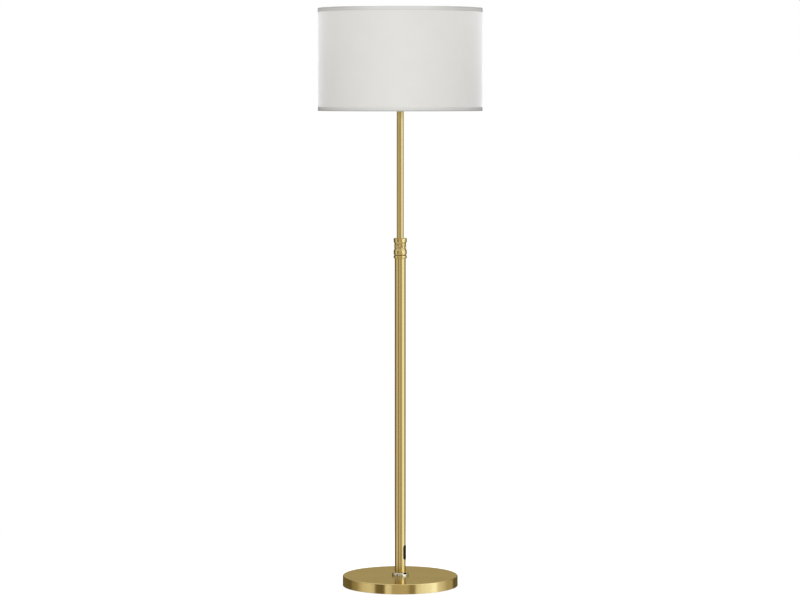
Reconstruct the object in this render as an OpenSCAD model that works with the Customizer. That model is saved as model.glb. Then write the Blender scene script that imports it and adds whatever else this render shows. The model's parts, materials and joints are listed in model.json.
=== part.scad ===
// Telescopic floor lamp: a weighted disc base, a pole of two tubes that slide one in the other
// and are locked by an ornamental screw collar, and a drum shade on a ring lampholder.
// Millimetres. +Z is up, the front is -Y, the flex enters on +X, and the origin is the middle
// of the underside of the felt, on the floor.

/* [Base] */
// Diameter of the drawn cover
base_d = 318; // [240:1:380]
// Height of the cover's top above the floor
base_h = 28; // [24:0.5:34]
// Sheet thickness of the cover
cover_wall = 1.2; // [0.8:0.1:2]
// Rounding of the cover's top edge
cover_edge_r = 2.2; // [2.1:0.1:4]
// Gap under the cover's rim
cover_lift = 1; // [0.5:0.1:2]
// Thickness of the cast weight
weight_t = 12; // [11:0.5:16]
// Gap between the weight and the cover's wall
weight_gap = 0.8; // [0.4:0.1:3]
// Depth of the pocket for the foot nut, in the weight's underside
nut_pocket = 8; // [6:0.5:10]
// Thickness of the plate that closes the underside
plate_t = 1.5; // [1:0.1:2.2]
// Thickness of the felt pad
felt_t = 2.5; // [2.3:0.1:3]
// How far the felt stays inside the cover's rim
felt_inset = 6; // [3:0.5:20]
// Diameter of the circle that the plate's screws are on
screw_circle_d = 230; // [120:1:236]
// How many screws hold the plate
screw_count = 3; // [3:1:6]
// Thread diameter of the plate's screws
screw_d = 4; // [3:0.5:5]
// Length of the plate's screws under the head
screw_len = 10; // [7:0.5:12]
// Height of a screw's head
screw_head_h = 2.1; // [1.5:0.1:2.2]

/* [Pole foot] */
// Thread diameter of the stud that clamps the pole to the base
stud_d = 10; // [8:0.5:12]
// Thickness of the foot nut
foot_nut_h = 8; // [6:0.5:8]
// Width of the foot nut across its flats
foot_nut_af = 17; // [15:1:22]
// Diameter of the foot washer
washer_d = 30; // [26:1:40]
// Thickness of the foot washer
washer_t = 2; // [1:0.5:2]
// Diameter of the polished ring at the pole's foot
foot_ring_d = 46; // [38:1:60]
// Height of the polished ring
foot_ring_h = 8; // [4:0.5:10]
// Depth of the tube's seat in the ring
foot_ring_seat = 2.5; // [1:0.5:3]
// Height of the threaded plug in the foot of the lower tube
plug_h = 25; // [15:1:35]

/* [Lower tube] */
// Outer diameter of the lower tube
lower_d = 30; // [28:0.5:33]
// Wall of the lower tube
lower_wall = 1.5; // [1:0.1:1.8]
// Length of the lower tube
lower_len = 871; // [700:1:1000]
// Height of the flex slot's middle above the tube's foot
slot_up = 58.5; // [50:0.5:140]
// Width of the flex slot
slot_w = 10; // [9.5:0.5:14]
// Height of the flex slot
slot_h = 37; // [30:0.5:44]
// How far the grommet's outer lip laps over the slot's edge
grommet_lip = 2; // [1.5:0.5:4.5]
// How far the grommet stands out of the tube
grommet_proud = 1.1; // [0.6:0.1:3]
// How far the grommet's inner lip reaches into the tube
grommet_inner = 1.2; // [0.6:0.1:2]
// Diameter of the flex hole in the grommet
flex_hole_d = 7.2; // [5:0.1:8]
// How far the flex hole is below the grommet's middle
flex_hole_drop = 13.5; // [6:0.5:13.5]

/* [Locking collar] */
// Diameter of the fixed flange and of the nut's two swells
collar_d = 36; // [34:0.5:42]
// Height of the fixed flange
flange_h = 8.5; // [5:0.5:14]
// Length of the sleeve's spigot in the lower tube
spigot_len = 30; // [20:1:50]
// Diameter of the sleeve's male thread
neck_d = 25.6; // [24.6:0.1:26.4]
// Length of the sleeve's male thread
neck_len = 18; // [12:0.5:20]
// Gap between the flange and the nut
nut_gap = 0.7; // [0.4:0.1:2]
// Height of the lock nut
nut_h = 46.5; // [44:0.5:60]
// Diameter of the nut's waist
nut_waist_d = 31.2; // [30:0.1:33]
// How many leaves the nut's relief has
leaf_count = 8; // [5:1:10]
// How far the relief stands out of the waist
leaf_h = 0.9; // [0.4:0.1:1.2]
// Length of one leaf
leaf_len = 13.5; // [10:0.5:15]
// Length of the split clamp ring
collet_h = 16; // [10:0.5:18]
// How many slots the clamp ring has
collet_slots = 4; // [2:1:6]

/* [Upper tube] */
// Outer diameter of the upper tube
upper_d = 19; // [18:0.1:19.4]
// Wall of the upper tube
upper_wall = 1.2; // [0.8:0.1:1.5]
// How far the pole rises from rest
raise_travel = 100; // [50:5:150]
// How far the pole sinks from rest
lower_travel = 350; // [200:5:450]
// Height of the guide bush on the tube's foot
bush_h = 24; // [14:1:40]
// Thickness of the spring clips above and below the bush
clip_t = 1; // [0.6:0.1:1.5]
// Height of the cap's skirt over the tube's top
cap_skirt_h = 15; // [8:0.5:25]
// Thickness of the cap's threaded top
cap_top_t = 4; // [3:0.5:8]
// Wall of the cap's skirt
cap_wall = 2.4; // [1.5:0.1:5]
// Length of the nipple above the cap
nipple_up = 12; // [9:0.5:13]

/* [Lampholder and bulb] */
// Height of the lampholder's lower cap
holder_cap_h = 25; // [23:0.5:35]
// Wall of the lampholder's cap and body
holder_wall = 2; // [1.4:0.1:2.6]
// Height of the lampholder's body above its cap
holder_body_h = 32; // [29:0.5:40]
// Crest diameter of the body's thread for the shade rings
holder_thread_d = 39.6; // [38.8:0.1:42]
// Height of one shade ring
shade_ring_h = 7; // [4:0.5:10]
// Outer diameter of the shade rings
shade_ring_d = 57; // [52:1:60]
// Diameter of the bulb's globe
bulb_d = 60; // [50:1:80]
// Length of the bulb from its contact to its top
bulb_len = 108; // [100:1:130]

/* [Shade] */
// Outer diameter of the shade
shade_d = 450; // [350:1:520]
// Height of the shade
shade_h = 280; // [200:1:320]
// Height of the fitter ring above the shade's lower rim
shade_drop = 56.6; // [30:0.1:90]
// Thickness of the fabric
fabric_t = 0.5; // [0.3:0.1:1]
// Thickness of the stiff liner under the fabric
liner_t = 0.8; // [0.5:0.1:1.5]
// Thickness of the trim tape
trim_t = 0.5; // [0.3:0.1:1]
// Height of the trim tape on the outside
trim_h = 11; // [8:0.5:20]
// Diameter of the frame wire
wire_d = 3.6; // [3.4:0.1:5]
// Gap between the frame wire and the liner
wire_gap = 0.3; // [0.2:0.05:1]
// Diameter of the carrier's arms
arm_d = 3.2; // [2:0.1:3.3]
// Number of arms of the shade carrier
arm_count = 3; // [3:1:6]
// Outer diameter of the fitter ring
fitter_d = 62; // [60:1:80]
// Thickness of the fitter ring
fitter_t = 1.5; // [1:0.1:3]

/* [Clearances] */
// Radial gap of a pressed or screwed joint
seat_gap = 0.03; // [0.02:0.01:0.05]
// Radial gap of a turning or sliding fit
run_gap = 0.08; // [0.05:0.01:0.1]
// Gap between moving pieces that don't guide each other
free_gap = 0.3; // [0.3:0.05:0.5]
// Gap left before a sliding piece meets its stop
stop_gap = 2; // [1:0.5:5]

/* [Hidden] */
$fn = 96;
eps = 0.5;              // how far a cutter runs past the face it cuts
wire_fn = 48;           // facets of thin wires in the preview

// Base, from the floor up
plate_z1 = felt_t + plate_t;
cover_under = base_h - cover_wall;
weight_z0 = cover_under - weight_t;
weight_r = base_d / 2 - cover_wall - weight_gap;
leg_wall = 4;
leg_r = screw_d + leg_wall;
felt_hole_r = screw_d + 2;

// Clamp of the pole
stud_r = stud_d / 2;
stud_pass_r = stud_r + free_gap;
thread_pitch = 1.5;
washer_z0 = weight_z0 + nut_pocket - washer_t;
foot_nut_z0 = washer_z0 - foot_nut_h;
stud_end = 1.5;         // how far the stud shows under its nut
stud_z0 = foot_nut_z0 - stud_end;
foot_ring_z1 = base_h + foot_ring_h;
lower_z0 = foot_ring_z1 - foot_ring_seat;
stud_z1 = lower_z0 + plug_h;

// Lower tube and collar
lower_r = lower_d / 2;
lower_bore_r = lower_r - lower_wall;
lower_z1 = lower_z0 + lower_len;
slot_z = lower_z0 + slot_up;
slot_turn = -28;        // degrees from +X, towards the front
flange_z1 = lower_z1 + flange_h;
neck_z1 = flange_z1 + neck_len;
nut_z0 = flange_z1 + nut_gap;
nut_z1 = nut_z0 + nut_h;
upper_r = upper_d / 2;
neck_r = neck_d / 2;
collet_base_h = 3;      // unslotted foot of the clamp ring
collet_slot_w = 1.6;
collet_foot_r = neck_r - 0.8;
collet_top_r = upper_r + 1.3;
collet_z1 = neck_z1 + collet_h - 2;

// Profile of the lock nut
foot_in = 1.2;          // how far the nut's foot is inside the flange
foot_edge = 1;
swell_z0 = 7.5;         // the lower swell's widest part
swell_z1 = 12;
waist_z0 = 17.2;        // the waist
waist_z1 = nut_h - 15.5;
crown_z0 = nut_h - 9;   // where the crown's straight side begins
crown_edge = 1.7;

// Upper tube
upper_bore_r = upper_r - upper_wall;
spigot_z0 = lower_z1 - spigot_len;
clip_play = 0.2;
clip_depth = 0.45;
clip_r = upper_r + 1.8;
clip_high_z1 = spigot_z0 - stop_gap - raise_travel;
bush_z1 = clip_high_z1 - clip_t - clip_play;
bush_z0 = bush_z1 - bush_h;
clip_low_z1 = bush_z0 - clip_play;
tube_tail = 4;          // tube below the lower clip
upper_z0 = clip_low_z1 - clip_t - tube_tail;
end_bush_rim = 2;       // rim of the end bush, below the tube
end_bush_len = 8;       // its length inside the tube
cap_z0 = nut_z1 + stop_gap + lower_travel;
upper_z1 = cap_z0 + cap_skirt_h;
cap_z1 = upper_z1 + cap_top_t;

// Lampholder, from its neck up
neck_ring_h = 8;        // threaded neck of the cap
cap_neck_r = stud_r + 3.6;
grub_r = 1.5;
grub_len = 3.6;
grub_up = 3;            // height of the grub screw above the neck's foot
nipple_down = 3;        // nipple below the tube cap
nipple_bore_r = stud_r - 1.3;
terminal_x = 8;         // offset of the two terminals
terminal_r = 1.25;
terminal_up = 3;
lead_hole_r = 1.6;
shell_t = 0.5;          // sheet of the contacts
contact_w = 4;
contact_x0 = -5;
contact_x1 = 4;
holder_r = holder_thread_d / 2;
holder_cap_z1 = cap_z1 + holder_cap_h;
holder_spigot = 5;
core_r = holder_r - holder_wall - 2.6;
core_z0 = cap_z1 + nipple_up + 1.5;
core_shoulder = holder_cap_z1 - holder_spigot;
core_z1 = holder_cap_z1 + 6;
ring_seat_z = holder_cap_z1 + 2;
ring_pitch = 2.5;
ring_depth = 0.8;
holder_z1 = holder_cap_z1 + holder_body_h;
contact_z1 = core_z1 + 2.7;

// Bulb, from its contact up
bulb_cap_r = 13.2;      // standard medium screw cap
shell_r = bulb_cap_r + 0.5;
bulb_pitch = 3.6;
bulb_tip_r = 4.7;
bulb_tip_h = 1.3;
bulb_cap_z0 = contact_z1 + bulb_tip_h + 5;
bulb_cap_z1 = bulb_cap_z0 + 18;
bulb_z1 = contact_z1 + bulb_len;
globe_r = bulb_d / 2;
globe_z = bulb_z1 - globe_r;
bulb_waist_z = bulb_cap_z1 + (globe_z - bulb_cap_z1) * 0.72;

// Shade
fitter_z0 = ring_seat_z + shade_ring_h;
fitter_z1 = fitter_z0 + fitter_t;
shade_z0 = fitter_z0 - shade_drop;
shade_z1 = shade_z0 + shade_h;
fabric_r = shade_d / 2 - trim_t;
liner_r = fabric_r - fabric_t;
liner_in_r = liner_r - liner_t;
wire_r = wire_d / 2;
wire_ring_r = liner_in_r - wire_gap - wire_r;
wire_in = trim_t + wire_r;     // from a rim to the middle of its wire
arm_run = 14;                  // level run of an arm outside the fitter ring
arm_knee_r = fitter_d / 2 + arm_run;
knee_swell = 0.15;             // how much an arm thickens at its bend

// ---------- shared shapes ----------

// Half-section of a disc whose top outer edge is rounded
module rounded_top(r, z0, z1, edge) {
    translate([0, z0]) square([r, z1 - z0 - edge]);
    translate([0, z0]) square([r - edge, z1 - z0]);
    translate([r - edge, z1 - edge]) circle(edge);
}

// Half-section of a disc whose outer edges are both rounded
module rounded_both(r, z0, z1, edge) {
    translate([0, z0 + edge]) square([r, z1 - z0 - 2 * edge]);
    translate([0, z0]) square([r - edge, z1 - z0]);
    for (z = [z0 + edge, z1 - edge]) translate([r - edge, z]) circle(edge);
}

// A plain tube between two heights
module tube(r_out, r_in, z0, z1) {
    difference() {
        translate([0, 0, z0]) cylinder(r = r_out, h = z1 - z0);
        translate([0, 0, z0 - eps]) cylinder(r = r_in, h = z1 - z0 + 2 * eps);
    }
}

// Outline of a row of thread ridges, from the root to the crest and back
function ridges(root, crest, z0, z1, pitch) =
    let (n = floor((z1 - z0) / pitch))
    [for (i = [0 : n - 1], k = [0, 1])
        [k == 0 ? root : crest, z0 + (i + k / 2) * pitch]];

// A threaded rod, drawn as closed ridges
module threaded_rod(r, depth, z0, z1, pitch) {
    rotate_extrude() polygon(concat(
        [[0, z0]], ridges(r - depth, r, z0, z1, pitch), [[r - depth, z1], [0, z1]]));
}

// A slot with round ends that runs along X, centred on Y = 0 and Z = 0
module obround_x(w, h, x0, x1) {
    for (s = [-1, 1])
        translate([x0, 0, s * (h - w) / 2]) rotate([0, 90, 0]) cylinder(d = w, h = x1 - x0);
    translate([x0, -w / 2, -(h - w) / 2]) cube([x1 - x0, w, h - w]);
}

// The places of the plate's screws
module at_screws() {
    for (i = [0 : screw_count - 1])
        rotate([0, 0, 90 + 360 * i / screw_count]) translate([screw_circle_d / 2, 0, 0]) children();
}

// ---------- base ----------

module base_cover() {
    color("darkkhaki") rotate_extrude() difference() {
        rounded_top(base_d / 2, cover_lift, base_h, cover_edge_r);
        rounded_top(base_d / 2 - cover_wall, cover_lift - 1, cover_under, cover_edge_r - cover_wall);
        square([stud_pass_r, base_h + eps]);
    }
}

module base_weight() {
    color("dimgray") difference() {
        union() {
            translate([0, 0, weight_z0]) cylinder(r = weight_r, h = weight_t);
            at_screws() translate([0, 0, plate_z1]) cylinder(r = leg_r, h = weight_z0 - plate_z1 + eps);
        }
        translate([0, 0, weight_z0 - eps]) cylinder(r = stud_pass_r, h = weight_t + 2 * eps);
        translate([0, 0, weight_z0 - eps]) cylinder(d = washer_d + 2, h = nut_pocket + eps);
        at_screws() translate([0, 0, plate_z1 - eps])
            cylinder(r = screw_d / 2 + seat_gap, h = screw_len - plate_t + 1 + eps);
    }
}

module base_plate() {
    color("slategray") difference() {
        translate([0, 0, felt_t]) cylinder(r = weight_r, h = plate_t);
        at_screws() translate([0, 0, felt_t - eps])
            cylinder(r = screw_d / 2 + free_gap, h = plate_t + 2 * eps);
    }
}

module felt_pad() {
    color("#26261f") difference() {
        cylinder(r = base_d / 2 - felt_inset, h = felt_t);
        at_screws() translate([0, 0, -eps]) cylinder(r = felt_hole_r, h = felt_t + 2 * eps);
    }
}

module base_screws() {
    color("silver") at_screws() difference() {
        union() {
            translate([0, 0, felt_t - screw_head_h]) cylinder(r = screw_d, h = screw_head_h);
            translate([0, 0, felt_t - eps]) cylinder(d = screw_d, h = screw_len + eps);
        }
        for (a = [0, 90]) translate([0, 0, felt_t - screw_head_h]) rotate([0, 0, a])
            cube([screw_d, screw_d / 5, screw_head_h], center = true);
    }
}

// ---------- pole foot ----------

module pole_stud() {
    color("silver") threaded_rod(stud_r, 0.6, stud_z0, stud_z1, thread_pitch);
}

module foot_washer() {
    color("silver") tube(washer_d / 2, stud_pass_r, washer_z0, washer_z0 + washer_t);
}

module foot_nut() {
    color("silver") difference() {
        translate([0, 0, foot_nut_z0]) cylinder(r = foot_nut_af / 2 / cos(30), h = foot_nut_h, $fn = 6);
        translate([0, 0, foot_nut_z0 - eps]) cylinder(r = stud_r + seat_gap, h = foot_nut_h + 2 * eps);
    }
}

module foot_ring() {
    color("gainsboro") rotate_extrude() difference() {
        rounded_both(foot_ring_d / 2, base_h, foot_ring_z1, foot_ring_h * 0.28);
        square([stud_pass_r, foot_ring_z1 + eps]);
        translate([0, lower_z0]) square([lower_r + seat_gap, foot_ring_seat + eps]);
    }
}

module foot_plug() {
    color("lightsteelblue") tube(lower_bore_r - seat_gap, stud_r + seat_gap, lower_z0, lower_z0 + plug_h);
}

// ---------- lower tube ----------

module lower_tube() {
    color("darkkhaki") difference() {
        tube(lower_r, lower_bore_r, lower_z0, lower_z1);
        rotate([0, 0, slot_turn]) translate([0, 0, slot_z])
            obround_x(slot_w, slot_h, 0, lower_r + eps);
    }
}

module cable_grommet() {
    lip_r = lower_r + grommet_proud;
    inner_lip_r = lower_bore_r - grommet_inner;
    color("#26241c") rotate([0, 0, slot_turn]) difference() {
        union() {
            intersection() {
                tube(lip_r, lower_r + seat_gap, slot_z - slot_h, slot_z + slot_h);
                translate([0, 0, slot_z])
                    obround_x(slot_w + 2 * grommet_lip, slot_h + 2 * grommet_lip, 0, lip_r + 1);
            }
            intersection() {
                tube(lip_r, inner_lip_r, slot_z - slot_h, slot_z + slot_h);
                translate([0, 0, slot_z])
                    obround_x(slot_w - 2 * seat_gap, slot_h - 2 * seat_gap, 0, lip_r + 1);
            }
            intersection() {
                tube(lower_bore_r - seat_gap, inner_lip_r, slot_z - slot_h, slot_z + slot_h);
                translate([0, 0, slot_z]) obround_x(slot_w + 3, slot_h + 3, 0, lower_r);
            }
        }
        translate([0, 0, slot_z - flex_hole_drop]) rotate([0, 90, 0])
            cylinder(d = flex_hole_d, h = lip_r + 1);
    }
}

// ---------- locking collar ----------

module collar_sleeve() {
    color("darkkhaki") rotate_extrude() difference() {
        union() {
            translate([0, spigot_z0]) square([lower_bore_r - seat_gap, spigot_len + eps]);
            rounded_both(collar_d / 2, lower_z1, flange_z1, min(2.4, flange_h * 0.4));
            polygon(concat(
                [[0, flange_z1 - eps], [neck_r - 0.5, flange_z1 - eps]],
                ridges(neck_r - 0.5, neck_r, flange_z1, neck_z1, thread_pitch),
                [[neck_r - 0.5, neck_z1], [0, neck_z1]]));
        }
        translate([0, spigot_z0 - eps]) square([upper_r + free_gap, neck_z1 - spigot_z0 + 2 * eps]);
    }
}

module clamp_ring() {
    color("ivory") difference() {
        rotate_extrude() polygon([
            [upper_r + run_gap, neck_z1], [collet_foot_r, neck_z1],
            [collet_foot_r, neck_z1 + collet_base_h],
            [collet_top_r, collet_z1], [upper_r + run_gap, collet_z1]]);
        for (i = [0 : collet_slots - 1]) rotate([0, 0, 45 + 360 * i / collet_slots])
            translate([0, -collet_slot_w / 2, neck_z1 + collet_base_h])
                cube([collar_d, collet_slot_w, collet_h]);
    }
}

// An S-shaped bend of the outline from one point to another, without its two ends
function s_bend(r0, z0, r1, z1) =
    [for (a = [30 : 30 : 150]) [r0 + (r1 - r0) * (1 - cos(a)) / 2, z0 + (z1 - z0) * a / 180]];

// Half-section of the lock nut, filled: a full lower swell, a waist and a crown
module nut_outline() {
    collar_r = collar_d / 2;
    waist_r = nut_waist_d / 2;
    polygon(concat(
        [[0, 0], [collar_r - foot_in - foot_edge, 0]],
        [for (a = [0 : 22.5 : 90])
            [collar_r - foot_in * (1 - sin(a)), swell_z0 - (swell_z0 - foot_edge) * cos(a)]],
        [[collar_r, swell_z1]], s_bend(collar_r, swell_z1, waist_r, waist_z0), [[waist_r, waist_z0]],
        [[waist_r, waist_z1]], s_bend(waist_r, waist_z1, collar_r, crown_z0), [[collar_r, crown_z0]],
        [for (a = [0 : 30 : 90])
            [collar_r - crown_edge * (1 - cos(a)), nut_h - crown_edge * (1 - sin(a))]],
        [[0, nut_h]]));
}

// One leaf of the relief as two crossing arcs, leaning to the side, on the nut's middle height
module leaf(lean) {
    bow = leaf_len * 0.9;
    half = leaf_len / 2;
    shift = sqrt(bow * bow - half * half);
    rotate([90, 0, 90]) rotate([0, 0, lean]) linear_extrude(height = collar_d) intersection() {
        translate([-shift, 0]) circle(bow);
        translate([shift, 0]) circle(bow);
    }
}

module nut_relief() {
    leaf_z = (waist_z0 + waist_z1) / 2;
    intersection() {
        rotate_extrude() translate([0, leaf_z - leaf_len / 2 - 1])
            square([nut_waist_d / 2 + leaf_h, leaf_len + 2]);
        for (i = [0 : leaf_count - 1]) rotate([0, 0, 360 * (i + 0.5) / leaf_count])
            translate([0, 0, leaf_z]) leaf(i % 2 == 0 ? 24 : -24);
    }
}

module lock_nut() {
    neck_top = neck_z1 - nut_z0;
    collet_top = collet_z1 - nut_z0;
    color("darkkhaki") translate([0, 0, nut_z0]) difference() {
        union() {
            rotate_extrude() nut_outline();
            nut_relief();
        }
        rotate_extrude() polygon([
            [0, -eps], [neck_r + run_gap, -eps], [neck_r + run_gap, neck_top + 3],
            [collet_foot_r + free_gap, neck_top + 3.5], [collet_top_r + free_gap + 0.2, collet_top + 0.5],
            [upper_r + free_gap, collet_top + 0.5], [upper_r + free_gap, nut_h + eps], [0, nut_h + eps]]);
    }
}

// ---------- upper tube and its guide ----------

module guide_bush() {
    edge = 0.8;
    out_r = lower_bore_r - run_gap;
    in_r = upper_r + run_gap;
    color("ivory") rotate_extrude() polygon([
        [in_r, bush_z0], [out_r - edge, bush_z0], [out_r, bush_z0 + edge],
        [out_r, bush_z1 - edge], [out_r - edge, bush_z1], [in_r, bush_z1]]);
}

module guide_clips() {
    color("silver") for (z1 = [clip_low_z1, clip_high_z1]) difference() {
        tube(clip_r, upper_r - clip_depth, z1 - clip_t, z1);
        translate([0, 0, z1 - clip_t - eps]) rotate([0, 0, 45]) cube([clip_r, clip_r, clip_t + 2 * eps]);
    }
}

module upper_tube() {
    color("darkkhaki") difference() {
        tube(upper_r, upper_bore_r, upper_z0, upper_z1);
        for (z1 = [clip_low_z1, clip_high_z1])
            tube(upper_r + eps, upper_r - clip_depth - 0.05, z1 - clip_t - 0.05, z1 + 0.05);
    }
}

module tube_end_bush() {
    color("ivory") rotate_extrude() difference() {
        union() {
            rounded_both(upper_r, upper_z0 - end_bush_rim, upper_z0, 0.8);
            translate([0, upper_z0 - eps]) square([upper_bore_r - seat_gap, end_bush_len + eps]);
        }
        translate([0, upper_z0 - end_bush_rim - eps])
            square([upper_bore_r - 2, end_bush_rim + end_bush_len + 2 * eps]);
    }
}

module tube_cap() {
    color("darkkhaki") rotate_extrude() difference() {
        rounded_both(upper_r + cap_wall, cap_z0, cap_z1, 1);
        translate([0, cap_z0 - eps]) square([upper_r + seat_gap, cap_skirt_h + eps]);
        translate([0, cap_z0]) square([stud_r + seat_gap, cap_z1 - cap_z0 + eps]);
    }
}

// ---------- lampholder ----------

module holder_nipple() {
    color("goldenrod") difference() {
        threaded_rod(stud_r, 0.5, cap_z1 - cap_top_t - nipple_down, cap_z1 + nipple_up, 1);
        translate([0, 0, cap_z1 - cap_top_t - nipple_down - eps])
            cylinder(r = nipple_bore_r, h = cap_top_t + nipple_up + nipple_down + 2 * eps);
    }
}

// Outline of the lampholder's cap: a neck up to bend_z, a round shoulder and a straight skirt
function cap_outline(neck, skirt, z0, bend_z, rise, z1) = concat(
    [[0, z0], [neck, z0]],
    [for (a = [0 : 15 : 90]) [neck + (skirt - neck) * sin(a), bend_z + rise * (1 - cos(a))]],
    [[skirt, z1], [0, z1]]);

module holder_cap() {
    skirt = holder_r + 1.2;
    rise = holder_cap_h - neck_ring_h - 5;
    bend_z = cap_z1 + neck_ring_h;
    color("#20201e") difference() {
        rotate_extrude()
            polygon(cap_outline(cap_neck_r, skirt, cap_z1, bend_z - holder_wall, rise, holder_cap_z1));
        rotate_extrude() polygon(cap_outline(cap_neck_r - holder_wall - 0.8, skirt - holder_wall,
            bend_z - 2 * holder_wall, bend_z, rise, holder_cap_z1 + 1));
        translate([0, 0, cap_z1 - eps]) cylinder(r = stud_r + seat_gap, h = neck_ring_h);
        translate([0, 0, cap_z1 + grub_up]) rotate([-90, 0, 0])
            cylinder(r = grub_r + seat_gap, h = skirt);
    }
}

module holder_grub_screw() {
    color("silver") difference() {
        translate([0, stud_r + 0.2, cap_z1 + grub_up]) rotate([-90, 0, 0])
            cylinder(r = grub_r, h = grub_len);
        translate([-grub_r, stud_r + grub_len - 0.4, cap_z1 + grub_up - 0.3])
            cube([2 * grub_r, 1, 0.6]);
    }
}

module holder_core() {
    color("whitesmoke") difference() {
        union() {
            translate([0, 0, core_z0]) cylinder(r = core_r + 1.4, h = core_shoulder - core_z0);
            translate([0, 0, core_z0]) cylinder(r = core_r, h = core_z1 - core_z0);
        }
        for (s = [-1, 1]) {
            translate([s * terminal_x, 0, core_z0 - eps])
                cylinder(r = lead_hole_r, h = core_z1 - core_z0 + 2 * eps);
            translate([s * terminal_x, 0, core_z0 + terminal_up]) rotate([90, 0, 0])
                cylinder(r = terminal_r + seat_gap, h = core_r + 4);
        }
    }
}

module terminal_screws() {
    color("goldenrod") for (s = [-1, 1]) difference() {
        translate([s * terminal_x, -2, core_z0 + terminal_up]) rotate([90, 0, 0])
            cylinder(r = terminal_r, h = core_r - 6);
        translate([s * terminal_x - terminal_r, -core_r + 2.5, core_z0 + terminal_up - 0.25])
            cube([2 * terminal_r, 1.6, 0.5]);
    }
}

module centre_contact() {
    color("goldenrod") {
        translate([contact_x0, -contact_w / 2, core_z1])
            cube([shell_t, contact_w, contact_z1 - core_z1]);
        translate([contact_x0, -contact_w / 2, contact_z1 - shell_t])
            cube([contact_x1 - contact_x0, contact_w, shell_t]);
    }
}

module screw_shell() {
    color("goldenrod") {
        tube(shell_r + shell_t, shell_r, core_z1, holder_z1 - 2);
        tube(shell_r + shell_t, 7, core_z1, core_z1 + shell_t);
    }
}

module holder_body() {
    inner = core_r + 0.3;
    color("#20201e") rotate_extrude() difference() {
        union() {
            translate([0, holder_cap_z1 - holder_spigot])
                square([holder_r + 1.2 - holder_wall - seat_gap, holder_spigot + eps]);
            rounded_both(holder_r + 1.8, holder_cap_z1, ring_seat_z, 0.6);
            polygon(concat(
                [[0, ring_seat_z - eps], [holder_r - ring_depth, ring_seat_z - eps]],
                ridges(holder_r - ring_depth, holder_r, ring_seat_z, holder_z1 - 2, ring_pitch),
                [[holder_r - ring_depth, holder_z1 - 1], [holder_r - ring_depth - 1, holder_z1],
                    [0, holder_z1]]));
        }
        translate([0, holder_cap_z1 - holder_spigot - eps])
            square([inner, holder_spigot + holder_body_h + 2 * eps]);
    }
}

// A knurled ring that screws on the lampholder's body
module shade_ring(z0) {
    grips = 16;
    color("#20201e") difference() {
        rotate_extrude() difference() {
            rounded_both(shade_ring_d / 2, z0, z0 + shade_ring_h, 1);
            translate([0, z0 - eps]) square([holder_r + 0.1, shade_ring_h + 2 * eps]);
        }
        for (i = [0 : grips - 1]) rotate([0, 0, 360 * (i + 0.5) / grips])
            translate([shade_ring_d / 2 + 1.2, 0, z0 - eps]) cylinder(r = 2.4, h = shade_ring_h + 2 * eps);
    }
}

module shade_ring_lower() {
    shade_ring(ring_seat_z);
}

module shade_ring_upper() {
    shade_ring(fitter_z1);
}

// ---------- bulb ----------

module bulb_contact() {
    color("silver") translate([0, 0, contact_z1]) cylinder(r = bulb_tip_r, h = bulb_tip_h);
}

module bulb_insulator() {
    color("#20201e") translate([0, 0, contact_z1 + bulb_tip_h])
        cylinder(r1 = bulb_tip_r + 0.6, r2 = bulb_cap_r - 2.6, h = bulb_cap_z0 - contact_z1 - bulb_tip_h);
}

module bulb_cap() {
    root = bulb_cap_r - 0.7;
    color("silver") rotate_extrude() difference() {
        polygon(concat(
            [[0, bulb_cap_z0], [root - 1.6, bulb_cap_z0]],
            ridges(root, bulb_cap_r, bulb_cap_z0 + 1, bulb_cap_z1 - 2, bulb_pitch),
            [[root, bulb_cap_z1 - 2], [root, bulb_cap_z1], [0, bulb_cap_z1]]));
        translate([0, bulb_cap_z0 + 0.6]) square([root - 1.8, bulb_cap_z1 - bulb_cap_z0]);
    }
}

// Flare of the bulb's body, from the cap's rim to the globe's edge
function flare(r0, r1, z0, z1) =
    [for (a = [0 : 10 : 90]) [r0 + (r1 - r0) * (1 - cos(a)), z0 + (z1 - z0) * sin(a)]];

globe_edge_r = sqrt(max(1, globe_r * globe_r - pow(globe_z - bulb_waist_z, 2)));

module bulb_body() {
    color("white") rotate_extrude() polygon(concat(
        [[0, bulb_cap_z1]], flare(bulb_cap_r, globe_edge_r, bulb_cap_z1, bulb_waist_z), [[0, bulb_waist_z]]));
}

module bulb_globe() {
    wall = 1.2;
    color("white") intersection() {
        difference() {
            translate([0, 0, globe_z]) sphere(globe_r);
            translate([0, 0, globe_z]) sphere(globe_r - wall);
        }
        translate([0, 0, bulb_waist_z]) cylinder(r = bulb_d, h = bulb_len);
    }
}

// ---------- shade ----------

// A straight round bar between two points, in the plane of its arm
module bar(r, from, to) {
    along = to - from;
    translate(from) rotate([0, atan2(along[0], along[2]), 0])
        cylinder(r = r, h = norm(along), $fn = wire_fn);
}

// The arms of the carrier, each of a short level run and a long slope down to the lower wire
module arms(r) {
    knee = [arm_knee_r, 0, fitter_z0 + fitter_t / 2];
    for (i = [0 : arm_count - 1]) rotate([0, 0, 90 + 360 * i / arm_count]) {
        bar(r, [fitter_d / 2 - 2, 0, knee[2]], knee);
        translate(knee) sphere(r + knee_swell, $fn = wire_fn);
        bar(r, knee, [wire_ring_r, 0, shade_z0 + wire_in]);
    }
}

module wire_ring(z) {
    translate([0, 0, z]) rotate_extrude() translate([wire_ring_r, 0]) circle(wire_r, $fn = wire_fn);
}

module shade_carrier() {
    fitter_hole_r = holder_r + 1.5;
    color("white") {
        wire_ring(shade_z0 + wire_in);
        difference() {
            arms(arm_d / 2);
            translate([0, 0, fitter_z0 - arm_d]) cylinder(r = shade_ring_d / 2 + 0.6, h = 3 * arm_d);
        }
        tube(fitter_d / 2, fitter_hole_r, fitter_z0, fitter_z1);
    }
}

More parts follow.
